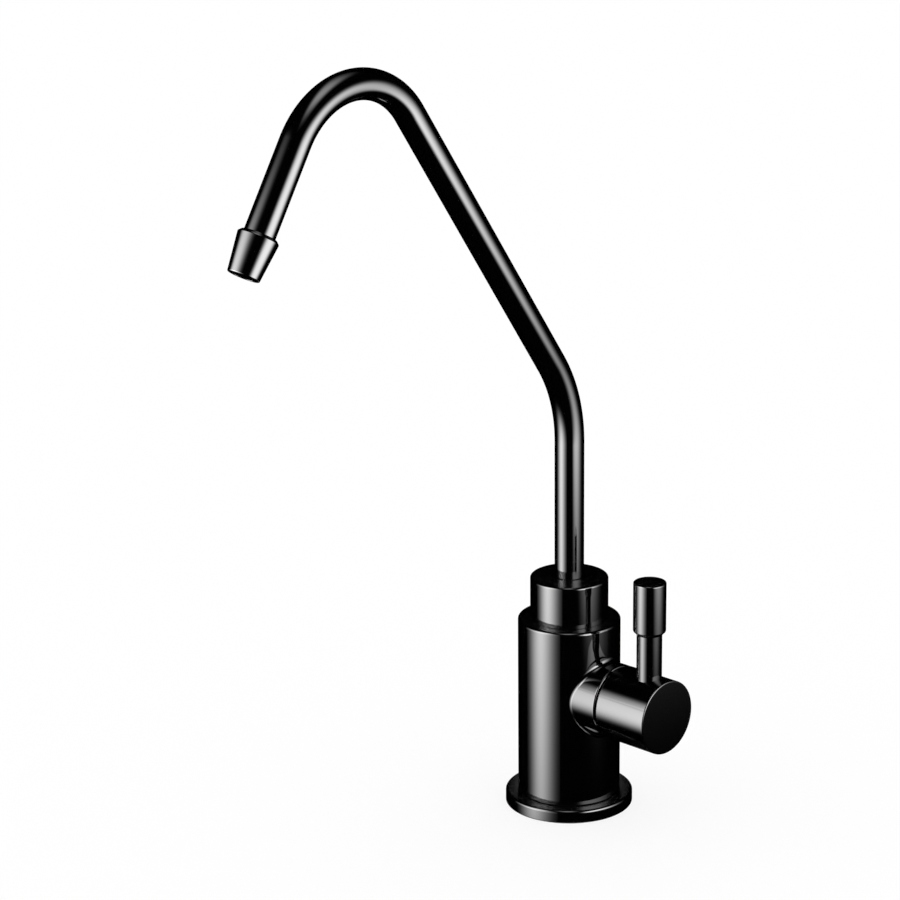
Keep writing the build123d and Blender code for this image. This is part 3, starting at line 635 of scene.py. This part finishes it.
class TAP_OT_finishes(bpy.types.Operator):
    """Makes the finishes and gives each carried-over node the finish of its slot"""

    bl_idname = "tap.finishes"
    bl_label = "Finishes"

    def execute(self, context):
        FINISH.update(make_finishes(context.scene.tap_finishes))
        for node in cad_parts.values():
            node.data.materials[0] = FINISH[node.data.materials[0].name]
        return {"FINISHED"}


class TAP_OT_spout(bpy.types.Operator):
    """Bends the spout tube and turns its nozzle"""

    bl_idname = "tap.spout"
    bl_label = "Spout"

    def execute(self, context):
        sizes = context.scene.tap_sizes
        low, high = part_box("spout_tube")
        foot = UP * low.z
        riser_top = UP * (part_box("spout_collar")[1].z + sizes.riser_length)
        socket = 6 * MM  # how far the tube goes into the nozzle
        tube = add_ring("bent_spout_tube", high.x, foot, UP, SMALL_SIDES)
        extrude(riser_top - foot)
        slope = sizes.lower_bend_angle
        end = self.bend(riser_top, 0, slope, sizes.lower_bend_radius, steps=36)
        run = self.heading(slope) * sizes.slope_length
        extrude(run)
        end = self.bend(
            end + run, slope, sizes.upper_bend_angle, sizes.upper_bend_radius, steps=96
        )
        fall = self.heading(slope + sizes.upper_bend_angle)
        extrude(fall * (sizes.fall_length + socket))
        close_up(fill=False)
        apply(tube, "SOLIDIFY", thickness=sizes.tube_wall, offset=-1)
        dress(tube, "spout", "black_finish", "spout_tube")
        self.nozzle(sizes, end + fall * sizes.fall_length, fall, socket)
        return {"FINISHED"}

    @staticmethod
    def heading(turned_by):
        """The centre line's direction once it has turned from upright by an angle."""
        return Vector((0, -sin(turned_by), cos(turned_by)))

    @staticmethod
    def bend(end, before, angle, radius, steps):
        """Spins the open end round a bend and returns where its centre line ends."""
        centre = end + radius * Vector((0, -cos(before), -sin(before)))
        # A positive angle would spin it backwards about this axis
        bpy.ops.mesh.spin(steps=steps, angle=-angle, center=centre, axis=ACROSS)
        after = before + angle
        return centre - radius * Vector((0, -cos(after), -sin(after)))

    @staticmethod
    def nozzle(sizes, start, along, socket):
        """Turns the nozzle, which tapers from its shoulder to its mouth."""
        shoulder, mouth, bore, tube_hole = 6.6 * MM, 5.15 * MM, 3.8 * MM, 5.02 * MM
        end, slope = 13.6 * MM, sizes.shoulder_chamfer
        rings = [
            (tube_hole, 0),
            (shoulder - slope, 0),
            (shoulder, slope),
            (mouth, end),
            (bore, end),
            (bore, socket),
            (tube_hole, socket),
            (tube_hole, 0),
        ]
        piece = turned("tapered_nozzle", rings, start, along)
        for places, width, steps in (
            ([(mouth, end)], sizes.nozzle_round, 6),
            ([(shoulder, slope), (shoulder - slope, 0)], 0.2 * MM, 3),
            ([(bore, end)], 0.15 * MM, 2),
        ):
            round_rims(piece, places, width, steps, start, along)
        dress(piece, "spout", "black_finish", "spout_nozzle")


class TAP_OT_collar(bpy.types.Operator):
    """Turns the collar under the spout and the base plate"""

    bl_idname = "tap.collar"
    bl_label = "Collar and base plate"

    def execute(self, context):
        sizes = context.scene.tap_sizes
        low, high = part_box("spout_collar")
        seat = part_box("valve_body")[1].z
        rim, spigot, tube_hole, tail_hole = high.x, 9.5 * MM, 5.3 * MM, 7.55 * MM
        narrowing = 78 * MM  # height at which the tail's hole narrows to the tube's
        rings = [
            (tube_hole, high.z),
            (rim, high.z),
            (rim, seat),
            (spigot, seat),
            (spigot, low.z),
            (tail_hole, low.z),
            (tail_hole, narrowing),
            (tube_hole, narrowing),
            (tube_hole, high.z),
        ]
        collar = turned("turned_collar", rings)
        round_rims(collar, [(rim, high.z)], width=sizes.collar_round, steps=8)
        round_rims(collar, [(rim, seat)], width=0.15 * MM, steps=2)
        round_rims(collar, [(tube_hole, high.z)], width=0.3 * MM, steps=3)
        dress(collar, "tap_body", "black_finish", "spout_collar")

        low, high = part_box("base_flange")
        rim, shank_hole = high.x, 8.02 * MM
        # The recess in the underside takes the gasket
        recess_inside, recess_outside, recess = 9.98 * MM, 19.52 * MM, 1.5 * MM
        rings = [
            (shank_hole, high.z),
            (rim, high.z),
            (rim, 0),
            (recess_outside, 0),
            (recess_outside, recess),
            (recess_inside, recess),
            (recess_inside, 0),
            (shank_hole, 0),
            (shank_hole, high.z),
        ]
        plate = turned("round_base_plate", rings)
        round_rims(plate, [(rim, high.z)], width=sizes.plate_round, steps=8)
        round_rims(plate, [(rim, 0)], width=0.4 * MM, steps=4)
        dress(plate, "tap_body", "black_finish", "base_flange")
        return {"FINISHED"}


class TAP_OT_lever(bpy.types.Operator):
    """Turns the lever's stem and grip"""

    bl_idname = "tap.lever"
    bl_label = "Lever"

    def execute(self, context):
        sizes = context.scene.tap_sizes
        low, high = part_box("lever_stem")
        axis = Vector(((low.x + high.x) / 2, 0, 0))
        grip_low, grip_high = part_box("lever_grip")
        foot, top = grip_low.z, grip_high.z
        stem, spigot = (high.x - low.x) / 2, 2.5 * MM
        seat = 54.002 * MM  # height of the stem's seat in the top of the hub
        rings = [
            (spigot, low.z),
            (spigot, seat),
            (stem, seat),
            (stem, foot),
            (spigot, foot),
            (spigot, high.z),
        ]
        rod = turned("lever_stem_rod", rings, axis, sides=SMALL_SIDES)
        tips = [(spigot, low.z), (spigot, high.z)]
        round_rims(rod, tips, width=0.4 * MM, steps=1, start=axis)
        round_rims(rod, [(stem, seat)], width=0.12 * MM, steps=3, start=axis)
        dress(rod, "lever", "black_finish", "lever_stem")

        grip, hole, hole_depth = (grip_high.x - grip_low.x) / 2, 2.55 * MM, 9.5 * MM
        slope = sizes.grip_chamfer
        rings = [(hole, foot + hole_depth), (hole, foot), (grip, foot), (grip, top)]
        knob = turned("lever_grip_knob", rings, axis)
        round_rims(knob, [(grip, foot)], width=slope, steps=1, start=axis)
        sloped = [(grip, foot + slope), (grip - slope, foot)]
        round_rims(knob, sloped, width=0.3 * MM, steps=4, start=axis)
        round_rims(knob, [(grip, top)], width=sizes.grip_round, steps=6, start=axis)
        dress(knob, "lever", "black_finish", "lever_grip")
        return {"FINISHED"}


class TAP_OT_shank(bpy.types.Operator):
    """Threads the shank and the nut that runs on it"""

    bl_idname = "tap.shank"
    bl_label = "Threaded shank and nut"

    def execute(self, context):
        sizes = context.scene.tap_sizes
        low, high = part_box("threaded_shank")
        crest, bore = 5.55 * MM, 3 * MM
        rod = thread("threaded_rod", crest, sizes, low.z, high.z)
        # The blank leaves the thread whole but for sloped ends
        tip, clear, slope = crest - 0.8 * MM, crest + 0.1 * MM, 0.9 * MM
        rings = [
            (bore, low.z),
            (tip, low.z),
            (clear, low.z + slope),
            (clear, high.z - slope),
            (tip, high.z),
            (bore, high.z),
            (bore, low.z),
        ]
        # Its sides don't line up with the thread's, which keeps the cut clean
        combine(rod, turned("shank_blank", rings, sides=THREAD_SIDES + 8), "INTERSECT")
        dress(rod, "tap_body", "brass", "threaded_shank", sharp=50)

        low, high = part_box("mounting_nut")
        nut = hexagon("hex_nut", high.x, low.z, high.z)
        # The blank rounds off the corners at both ends and leaves a hole to be tapped
        end, clear, slope = 0.96 * high.y, high.x + 0.2 * MM, 1.1 * MM
        hole = crest - sizes.thread_depth + 0.1 * MM
        mouth, mouth_depth = crest + 0.2 * MM, 0.8 * MM
        rings = [
            (mouth, low.z),
            (end, low.z),
            (clear, low.z + slope),
            (clear, high.z - slope),
            (end, high.z),
            (mouth, high.z),
            (hole, high.z - mouth_depth),
            (hole, low.z + mouth_depth),
            (mouth, low.z),
        ]
        combine(nut, turned("nut_blank", rings, sides=SMALL_SIDES), "INTERSECT")
        play, over = 0.05 * MM, 1 * MM
        tap = thread("nut_tap", crest + play, sizes, low.z - over, high.z + over)
        combine(nut, tap, "DIFFERENCE")
        dress(nut, "clamp_nut", "brass", "mounting_nut", sharp=20)
        return {"FINISHED"}


class TAP_OT_washers(bpy.types.Operator):
    """Makes the rubber washer, the spacer and the star washer of the clamp"""

    bl_idname = "tap.washers"
    bl_label = "Clamp washers"

    def execute(self, context):
        hole = 5.85 * MM
        low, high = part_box("rubber_washer")
        washer = self.flat_ring("soft_washer", hole, high.x, low.z, high.z, SMALL_SIDES)
        round_rims(washer, [(high.x, low.z), (high.x, high.z)], width=0.45 * MM, steps=4)
        round_rims(washer, [(hole, low.z), (hole, high.z)], width=0.2 * MM, steps=2)
        dress(washer, "clamp_washers", "rubber", "rubber_washer")

        low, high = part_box("spacer_ring")
        spacer = self.flat_ring("worktop_spacer", hole, high.x, low.z, high.z, SMALL_SIDES)
        round_rims(spacer, [(high.x, low.z)], width=0.6 * MM, steps=4)
        round_rims(spacer, [(high.x, high.z)], width=0.25 * MM, steps=3)
        round_rims(spacer, [(hole, low.z), (hole, high.z)], width=0.3 * MM, steps=2)
        dress(spacer, "clamp_washers", "acetal", "spacer_ring")

        self.star_washer(hole)
        return {"FINISHED"}

    @staticmethod
    def flat_ring(name, hole, rim, low, high, sides):
        """Turns a flat ring."""
        rings = [(hole, low), (rim, low), (rim, high), (hole, high), (hole, low)]
        return turned(name, rings, sides=sides)

    def star_washer(self, hole):
        """Draws teeth out of a flat ring and twists them, one corner up and the other down."""
        low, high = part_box("star_washer")
        reach, root, teeth = high.x, 7.7 * MM, 12
        half_sheet, twist = 0.25 * MM, 0.15 * MM
        middle = (low.z + high.z) / 2
        gap = 2 * pi / teeth
        piece = self.flat_ring(
            "tooth_washer", hole, root, middle - half_sheet, middle + half_sheet, sides=4 * teeth
        )

        def radius(spot):
            """How far from the Z axis."""
            return hypot(spot.x, spot.y)

        def off_tooth(spot):
            """How far round from the nearest tooth's middle."""
            return (atan2(spot.y, spot.x) + gap / 2) % gap - gap / 2

        def is_tooth_root(face):
            """Whether a face stands on the rim where a tooth starts."""
            spot = face.calc_center_median()
            on_rim = radius(spot) > 0.98 * root and abs(face.normal.z) < 0.5
            return on_rim and abs(off_tooth(spot)) < gap / 4

        select(piece, "FACE", is_tooth_root)
        extrude()
        grow = (reach - 0.02 * MM) / root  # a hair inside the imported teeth
        bpy.ops.transform.resize(value=(grow, grow, 1), center_override=UP * middle)
        for side in (1, -1):
            select(
                piece,
                "VERT",
                lambda corner: radius(corner.co) > (root + reach) / 2
                and off_tooth(corner.co) * side > gap / 16,
            )
            bpy.ops.transform.translate(value=UP * twist * side)
        close_up()
        dress(piece, "clamp_washers", "stainless_steel", "star_washer", sharp=20)


class TAP_OT_inlet(bpy.types.Operator):
    """Moulds the push-in inlet fitting and its collet"""

    bl_idname = "tap.inlet"
    bl_label = "Inlet fitting"

    def execute(self, context):
        self.fitting()
        self.collet()
        return {"FINISHED"}

    @staticmethod
    def fitting():
        """A round barrel under a six-sided head, with a stepped bore."""
        low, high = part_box("inlet_fitting")
        over = 1 * MM  # how far a piece goes past another that it joins or cuts
        barrel, head_foot = 8 * MM, high.z - 9 * MM
        rings = [(barrel, low.z), (barrel, high.z - over)]
        piece = turned("tube_fitting", rings, sides=SMALL_SIDES)
        round_rims(piece, [(barrel, low.z)], width=0.6 * MM, steps=5)
        head = hexagon("fitting_head", high.x, head_foot, high.z)
        end, clear, slope = 0.97 * high.y, high.x + 0.1 * MM, 0.9 * MM
        rings = [
            (end, head_foot),
            (clear, head_foot + slope),
            (clear, high.z - slope),
            (end, high.z),
        ]
        combine(head, turned("head_blank", rings, sides=SMALL_SIDES), "INTERSECT")
        combine(piece, head, "UNION")
        mouth, mouth_slope, shank_hole = 6.4 * MM, 0.8 * MM, 5.6 * MM
        waterway, tube_hole, collet_hole = 2.6 * MM, 3.25 * MM, 5.3 * MM
        # Heights at which the shank ends, the supply tube stops and the collet's hole starts
        shank_end, tube_stop, collet_top = -63.5 * MM, -66 * MM, -71 * MM
        rings = [
            (mouth, high.z + over),
            (mouth, high.z),
            (shank_hole, high.z - mouth_slope),
            (shank_hole, shank_end),
            (waterway, shank_end),
            (waterway, tube_stop),
            (tube_hole, tube_stop),
            (tube_hole, collet_top),
            (collet_hole, collet_top),
            (collet_hole, low.z - over),
        ]
        combine(piece, turned("fitting_bore", rings, sides=BORE_SIDES), "DIFFERENCE")
        dress(piece, "tap_body", "fitting_plastic", "inlet_fitting", sharp=25)

    @staticmethod
    def collet():
        """A sleeve with a flange to press, a barb that holds it in, and slits that let it give."""
        low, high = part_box("inlet_collet")
        bore, wall, barb, flange = 3.3 * MM, 4.2 * MM, 4.9 * MM, high.x
        flange_top, barb_foot = low.z + 1.4 * MM, high.z - 1.75 * MM
        rings = [
            (bore, low.z),
            (flange, low.z),
            (flange, flange_top),
            (wall, flange_top),
            (wall, barb_foot),
            (barb, barb_foot),
            (wall, high.z),
            (bore, high.z),
            (bore, low.z),
        ]
        piece = turned("release_collet", rings, sides=SMALL_SIDES)
        round_rims(piece, [(flange, low.z), (flange, flange_top)], width=0.35 * MM, steps=4)
        round_rims(piece, [(bore, low.z)], width=0.4 * MM, steps=3)
        slit_width, slit_depth, over, reach = 0.8 * MM, 6 * MM, 2 * MM, 14 * MM
        for across in (0, pi / 2):
            clear_selection()
            bpy.ops.mesh.primitive_cube_add(
                size=1, location=UP * (high.z + (over - slit_depth) / 2), rotation=(0, 0, across)
            )
            bpy.context.object.scale = (reach, slit_width, slit_depth + over)
            combine(piece, settle("slit_cutter"), "DIFFERENCE")
        dress(piece, "collet", "fitting_plastic", "inlet_collet", sharp=25)


class TAP_OT_studio(bpy.types.Operator):
    """Lays the pale floor, hangs the soft boxes and the black cloth, and sets the camera"""

    bl_idname = "tap.studio"
    bl_label = "Studio"

    reach = 6  # metres from the tap to the edge of the floor and to the cloth

    def execute(self, context):
        studio = context.scene.tap_studio
        self.floor(context.scene.tap_finishes.floor)
        self.cloth()
        self.soft_box(
            "left_soft_box",
            studio.left_box,
            centre=(-255, -610, 200),
            heading=-21,
            reaches=(290, 320, 495, 120),
            fades=(1.8, 3.9),
        )
        self.soft_box(
            "upper_soft_box",
            studio.upper_box,
            centre=(-75, -285, 195),
            heading=-9,
            reaches=(125, 85, 22, 135),
            fades=(2.2, 3.2),
        )
        self.soft_box(
            "right_soft_box",
            studio.right_box,
            centre=(350, -30, 150),
            heading=116,
            reaches=(145, 220, 148, 165),
            fades=(2.7, 3.5),
        )
        self.soft_box(
            "top_soft_box",
            studio.top_box,
            centre=(60, -120, 560),
            heading=45,
            reaches=(70, 105, 145, 155),
            fades=(3, 2),
            lean=90,
        )
        self.soft_box(
            "low_soft_box",
            studio.low_box,
            centre=(75, -75, -70),
            heading=48,
            reaches=(55, 55, 20, 20),
            fades=(4, 4),
            lean=30,
        )
        self.soft_box(
            "back_strip",
            studio.back_strip,
            centre=(-24, 26, 0),
            heading=222.6,
            reaches=(14, 14, 60, 42),
            fades=(6, 8),
        )
        self.world(studio.fill)
        self.camera(context, studio.focal_length)
        context.scene.view_settings.view_transform = "Standard"
        return {"FINISHED"}

    @staticmethod
    def set_up(name, material, *rays):
        """Names a new stage piece, gives it its material and hides it from some kinds of ray."""
        piece = settle(name)
        bpy.ops.object.mode_set(mode="OBJECT")
        piece.data.materials.append(material)
        for ray in rays:
            setattr(piece, "visible_" + ray, False)

    def floor(self, tint):
        """A large pale floor, clear from below, that glossy rays don't meet."""
        material, tree = start_material("pale_floor")
        matt = add(tree, "BsdfDiffuse", {"Color": tint})
        glow = add(tree, "Emission", {"Color": WHITE, "Strength": 1.0})
        # The camera sees it mostly white, and the tap's shadow in the rest
        seen = add(tree, "LightPath").outputs["Is Camera Ray"]
        share = add(tree, "Math", {0: seen, 1: 0.8}, operation="MULTIPLY")
        top = add(tree, "MixShader", {0: share.outputs[0], 1: matt.outputs[0], 2: glow.outputs[0]})
        clear = add(tree, "BsdfTransparent")
        side = add(tree, "NewGeometry").outputs["Backfacing"]
        both = add(tree, "MixShader", {0: side, 1: top.outputs[0], 2: clear.outputs[0]})
        add(tree, "OutputMaterial", {"Surface": both.outputs[0]})
        clear_selection()
        bpy.ops.mesh.primitive_plane_add(size=2 * self.reach)
        self.set_up("studio_floor", material, "glossy", "shadow")

    def cloth(self):
        """Black cloth all round, seen only in reflections, as is hung for gloss black."""
        material, tree = start_material("black_velvet")
        dark = add(tree, "Emission", {"Color": BLACK, "Strength": 0.0})
        add(tree, "OutputMaterial", {"Surface": dark.outputs[0]})
        clear_selection()
        bpy.ops.mesh.primitive_uv_sphere_add(radius=self.reach, segments=32, ring_count=16)
        self.set_up("black_cloth", material, "camera", "diffuse", "transmission", "shadow")

    def soft_box(self, name, strength, centre, heading, reaches, fades, lean=0):
        """A soft box seen only in reflections, whose top leans to the side that it shines from.

        At a heading of 0 it shines along +Y. The centre is in millimetres, and the heading and the
        lean are in degrees. Its light fades over the reaches to the left, right, bottom and top, in
        millimetres, and the higher the power in fades, across and up, the sharper its edge.
        """
        material, tree = start_material(name + "_cloth")
        # At twice its longer reach it has all but faded out, so the sheet ends there
        edges = (2 * max(reaches[:2]) * MM, 2 * max(reaches[2:]) * MM)
        spot = add(tree, "SeparateXYZ", {0: add(tree, "TexCoord").outputs["UV"]})
        falls = []
        for axis, edge, near, far, power in zip("XY", edges, reaches[::2], reaches[1::2], fades):
            place = add(
                tree, "MapRange", {"Value": spot.outputs[axis], "To Min": -edge, "To Max": edge}
            ).outputs["Result"]
            low = add(tree, "Math", {0: place, 1: -near * MM}, operation="DIVIDE")
            high = add(tree, "Math", {0: place, 1: far * MM}, operation="DIVIDE")
            share = add(tree, "Math", {0: low.outputs[0], 1: high.outputs[0]}, operation="MAXIMUM")
            fall = add(tree, "Math", {0: share.outputs[0], 1: power}, operation="POWER")
            falls.append(fall.outputs[0])
        fall = add(tree, "Math", {0: falls[0], 1: falls[1]}, operation="ADD")
        fall = add(tree, "Math", {0: fall.outputs[0], 1: -1.0}, operation="MULTIPLY")
        level = add(tree, "Math", {0: fall.outputs[0]}, operation="EXPONENT")
        level = add(tree, "Math", {0: level.outputs[0], 1: strength}, operation="MULTIPLY")
        # It adds light and covers nothing, and it shines only from its back
        clear = add(tree, "BsdfTransparent")
        glow = add(tree, "Emission", {"Color": WHITE, "Strength": level.outputs[0]})
        front = add(tree, "AddShader", {0: glow.outputs[0], 1: clear.outputs[0]})
        side = add(tree, "NewGeometry").outputs["Backfacing"]
        both = add(tree, "MixShader", {0: side, 1: clear.outputs[0], 2: front.outputs[0]})
        add(tree, "OutputMaterial", {"Surface": both.outputs[0]})
        material.cycles.emission_sampling = "NONE"
        clear_selection()
        bpy.ops.mesh.primitive_plane_add(
            size=2, location=Vector(centre) * MM, rotation=(radians(90 - lean), 0, radians(heading))
        )
        bpy.context.object.scale = (*edges, 1)
        self.set_up(name, material, "camera", "diffuse", "transmission", "shadow")

    @staticmethod
    def world(fill):
        """Even pale light all round, white where the camera, gloss and glass see it."""
        world = bpy.data.worlds.new("pale_studio")
        bpy.context.scene.world = world
        world.use_nodes = True
        tree = world.node_tree
        tree.nodes.clear()
        rays = add(tree, "LightPath").outputs
        seen = add(
            tree, "Math", {0: rays["Is Camera Ray"], 1: rays["Is Glossy Ray"]}, operation="ADD"
        )
        seen = add(
            tree,
            "Math",
            {0: seen.outputs[0], 1: rays["Is Transmission Ray"]},
            operation="ADD",
            use_clamp=True,
        )
        light = add(tree, "Background", {"Color": WHITE, "Strength": fill}).outputs[0]
        white = add(tree, "Background", {"Color": WHITE, "Strength": 1.0}).outputs[0]
        both = add(tree, "MixShader", {0: seen.outputs[0], 1: light, 2: white})
        add(tree, "OutputWorld", {"Surface": both.outputs[0]})

    @staticmethod
    def camera(context, focal_length):
        """The camera that looks from the photograph's angle."""
        # Its place, turn and shift were found from the tap's outline in the photograph
        place = (0.741509, -0.814432, 0.476794)
        tilt, heading = radians(72.33), radians(42.57)
        bpy.ops.object.camera_add(location=place, rotation=(tilt, 0, heading))
        camera = context.object
        camera.name = "photo_camera"
        camera.data.lens = focal_length
        camera.data.sensor_width = 36
        camera.data.shift_x = -0.1166
        camera.data.shift_y = 0.0022
        camera.data.clip_start, camera.data.clip_end = 0.01, 50
        context.scene.camera = camera


class TAP_PT_panel(bpy.types.Panel):
    """Lists the steps that dress the tap"""

    bl_label = "Filter Tap"
    bl_idname = "TAP_PT_panel"
    bl_space_type = "VIEW_3D"
    bl_region_type = "UI"
    bl_category = "Filter Tap"

    def draw(self, context):
        scene = context.scene
        for step in STEPS:
            self.layout.operator(step.bl_idname)
        for group in (scene.tap_sizes, scene.tap_finishes, scene.tap_studio):
            box = self.layout.box()
            for name in group.__annotations__:
                box.prop(group, name)


STEPS = (
    TAP_OT_finishes,
    TAP_OT_spout,
    TAP_OT_collar,
    TAP_OT_lever,
    TAP_OT_shank,
    TAP_OT_washers,
    TAP_OT_inlet,
    TAP_OT_studio,
)
CLASSES = (TapSizes, TapFinishes, TapStudio, *STEPS, TAP_PT_panel)


def register():
    """Registers the classes and hangs the sizes, finishes and studio on the scene."""
    for item in CLASSES:
        bpy.utils.register_class(item)
    bpy.types.Scene.tap_sizes = bpy.props.PointerProperty(type=TapSizes)
    bpy.types.Scene.tap_finishes = bpy.props.PointerProperty(type=TapFinishes)
    bpy.types.Scene.tap_studio = bpy.props.PointerProperty(type=TapStudio)


def unregister():
    """Takes back what register did."""
    for name in ("tap_sizes", "tap_finishes", "tap_studio"):
        delattr(bpy.types.Scene, name)
    for item in reversed(CLASSES):
        bpy.utils.unregister_class(item)


def main():
    """Dresses the tap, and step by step."""
    register()
    bpy.ops.tap.finishes()
    bpy.ops.tap.spout()
    bpy.ops.tap.collar()
    bpy.ops.tap.lever()
    bpy.ops.tap.shank()
    bpy.ops.tap.washers()
    bpy.ops.tap.inlet()
    bpy.ops.tap.studio()
    clear_selection()


if __name__ == "__main__":
    main()
